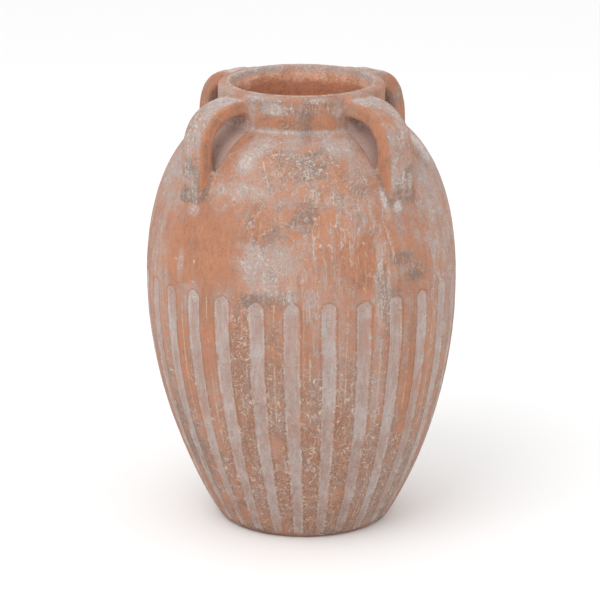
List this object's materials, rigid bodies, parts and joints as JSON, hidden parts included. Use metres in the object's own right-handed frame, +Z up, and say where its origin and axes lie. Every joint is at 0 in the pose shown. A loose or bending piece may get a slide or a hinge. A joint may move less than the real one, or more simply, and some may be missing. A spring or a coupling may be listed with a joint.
{
  "type": "amphora",
  "caption": "Free-standing terracotta amphora: ovoid body fluted below the belly, short collar neck with a rounded lip, and strap handles from neck to shoulder.",
  "frame": {"origin": "centre of the foot ring, on the surface that the jar stands on", "axes": "+Z up along the jar's axis; the straps stand close to -Y, +X, +Y and -X"},
  "size_m": [0.3184, 0.3184, 0.46],
  "materials": {
    "washed_terracotta": "matte fired clay under a thin, worn lime wash",
    "bare_terracotta": "matte bare fired clay"
  },
  "bodies": {
    "root": {"floor_slab": "bare_terracotta", "lower_wall": "washed_terracotta", "shoulder_wall": "washed_terracotta", "neck_collar": "washed_terracotta", "lip_coil": "washed_terracotta", "handle_front": "washed_terracotta", "handle_right": "washed_terracotta", "handle_back": "washed_terracotta", "handle_left": "washed_terracotta"}
  },
  "joints": []
}
